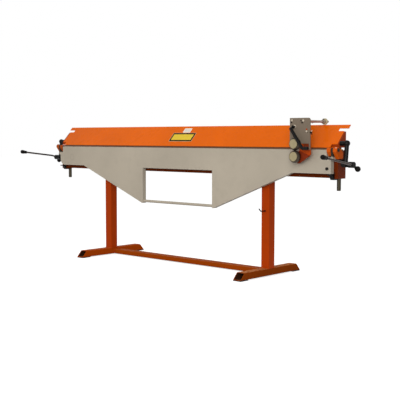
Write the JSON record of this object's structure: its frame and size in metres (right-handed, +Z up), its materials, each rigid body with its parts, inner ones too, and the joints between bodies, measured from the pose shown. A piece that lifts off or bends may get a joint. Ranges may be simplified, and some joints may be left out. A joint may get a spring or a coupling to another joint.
{
  "type": "sheet metal brake",
  "caption": "Long hand folding machine on a floor stand: swinging bending beam, lever-lifted clamping beam with a sloped front, and a roller cutter on its lip",
  "frame": {"origin": "on the floor below the middle of the machine's overall box", "axes": "+X along the machine to the right of the person who works it, -Y towards that person, +Z up"},
  "size_m": [3.13, 0.7438, 1.11],
  "materials": {
    "beam_paint": "glossy orange enamel",
    "stand_paint": "glossy orange enamel, darker",
    "dark_paint": "glossy dark orange enamel",
    "sheet_paint": "satin grey beige enamel",
    "plate_paint": "satin grey enamel",
    "cream_paint": "satin cream enamel",
    "black_steel": "blackened steel",
    "dark_steel": "dark oiled tool steel",
    "bright_steel": "ground steel",
    "bush_brass": "turned bearing bronze",
    "pad_rubber": "matt black rubber",
    "grip_plastic": "glossy black plastic",
    "yellow_film": "blank yellow plate",
    "white_film": "blank white plate"
  },
  "bodies": {
    "stand": {"foot_left": "stand_paint", "foot_right": "stand_paint", "foot_pad_left_front": "pad_rubber", "foot_pad_left_rear": "pad_rubber", "foot_pad_right_front": "pad_rubber", "foot_pad_right_rear": "pad_rubber", "post_left": "stand_paint", "post_right": "stand_paint", "crossbar": "dark_paint", "tool_hook": "black_steel", "lower_beam": "dark_paint", "bed_strip": "dark_steel", "end_box_left": "dark_paint", "end_box_right": "dark_paint", "guide_bush_left": "bush_brass", "guide_bush_right": "bush_brass", "hinge_bracket_left": "beam_paint", "hinge_bracket_right": "beam_paint", "hinge_pin_left": "dark_steel", "hinge_pin_right": "dark_steel", "apron_stop_left": "black_steel", "apron_stop_right": "black_steel"},
    "bending_beam": {"bending_beam": "sheet_paint", "bending_blade": "dark_steel", "hinge_ear_left": "sheet_paint", "hinge_ear_right": "sheet_paint", "handle_bar": "sheet_paint", "stop_bolt": "black_steel"},
    "clamp_beam": {"clamp_beam": "beam_paint", "clamp_blade": "dark_steel", "clamp_end_left": "beam_paint", "clamp_end_right": "beam_paint", "link_pin_left": "black_steel", "link_pin_right": "black_steel", "tie_rod_left": "black_steel", "tie_rod_right": "black_steel", "guide_column_left": "bright_steel", "guide_column_right": "bright_steel", "yellow_plate": "yellow_film", "white_plate": "white_film"},
    "lever_left": {"crank_left": "black_steel", "lever_rod_left": "bright_steel", "lever_grip_left": "grip_plastic", "lever_knob_left": "grip_plastic"},
    "lever_right": {"crank_right": "black_steel", "lever_rod_right": "bright_steel", "lever_grip_right": "grip_plastic", "lever_knob_right": "grip_plastic"},
    "cutter_shoe": {"rail_shoe": "dark_steel"},
    "cutter": {"cutter_arms": "bright_steel", "cutter_plate": "plate_paint", "knife_bracket": "beam_paint", "push_handle": "black_steel"},
    "upper_knife": {"upper_knife": "dark_steel", "upper_knife_cap": "cream_paint"},
    "lower_knife": {"lower_knife": "dark_steel", "lower_knife_cap": "cream_paint"},
    "rail_wheel": {"rail_wheel": "cream_paint"}
  },
  "joints": [
    {"name": "bending_swing", "type": "hinge", "parent": "stand", "child": "bending_beam", "pos_m": [0, -0.042, 0.9], "axis": [-1, 0, 0], "range_deg": [0, 130]},
    {"name": "clamp_lift", "type": "slide", "parent": "stand", "child": "clamp_beam", "axis": [0, 0, 1], "range_m": [0, 0.03998]},
    {"name": "lever_left_turn", "type": "hinge", "parent": "stand", "child": "lever_left", "pos_m": [-1.447, 0.0172, 0.825], "axis": [-1, 0, 0], "range_deg": [0, 110]},
    {"name": "lever_right_turn", "type": "hinge", "parent": "stand", "child": "lever_right", "pos_m": [1.447, 0.0172, 0.825], "axis": [-1, 0, 0], "range_deg": [0, 110]},
    {"name": "cutter_slide", "type": "slide", "parent": "clamp_beam", "child": "cutter_shoe", "axis": [1, 0, 0], "range_m": [-2.43, 0.08]},
    {"name": "cutter_tip", "type": "hinge", "parent": "cutter_shoe", "child": "cutter", "pos_m": [1.195, 0.138, 1.0878], "axis": [-1, 0, 0], "range_deg": [0, 65]},
    {"name": "upper_knife_spin", "type": "hinge", "parent": "cutter", "child": "upper_knife", "pos_m": [1.159, -0.1093, 0.938], "axis": [0, 1, 0], "continuous": true},
    {"name": "lower_knife_spin", "type": "hinge", "parent": "cutter", "child": "lower_knife", "pos_m": [1.159, -0.1093, 0.853], "axis": [0, 1, 0], "continuous": true},
    {"name": "rail_wheel_spin", "type": "hinge", "parent": "cutter", "child": "rail_wheel", "pos_m": [1.239, 0.1147, 1.0878], "axis": [0, 1, 0], "continuous": true}
  ],
  "couplings": [
    {"joint": "lever_left_turn", "follows": "clamp_lift", "rad_per_m": 48.01},
    {"joint": "lever_right_turn", "follows": "clamp_lift", "rad_per_m": 48.01},
    {"joint": "cutter_tip", "follows": "bending_swing", "ratio": 0.5},
    {"joint": "rail_wheel_spin", "follows": "cutter_slide", "rad_per_m": 45.45}
  ]
}
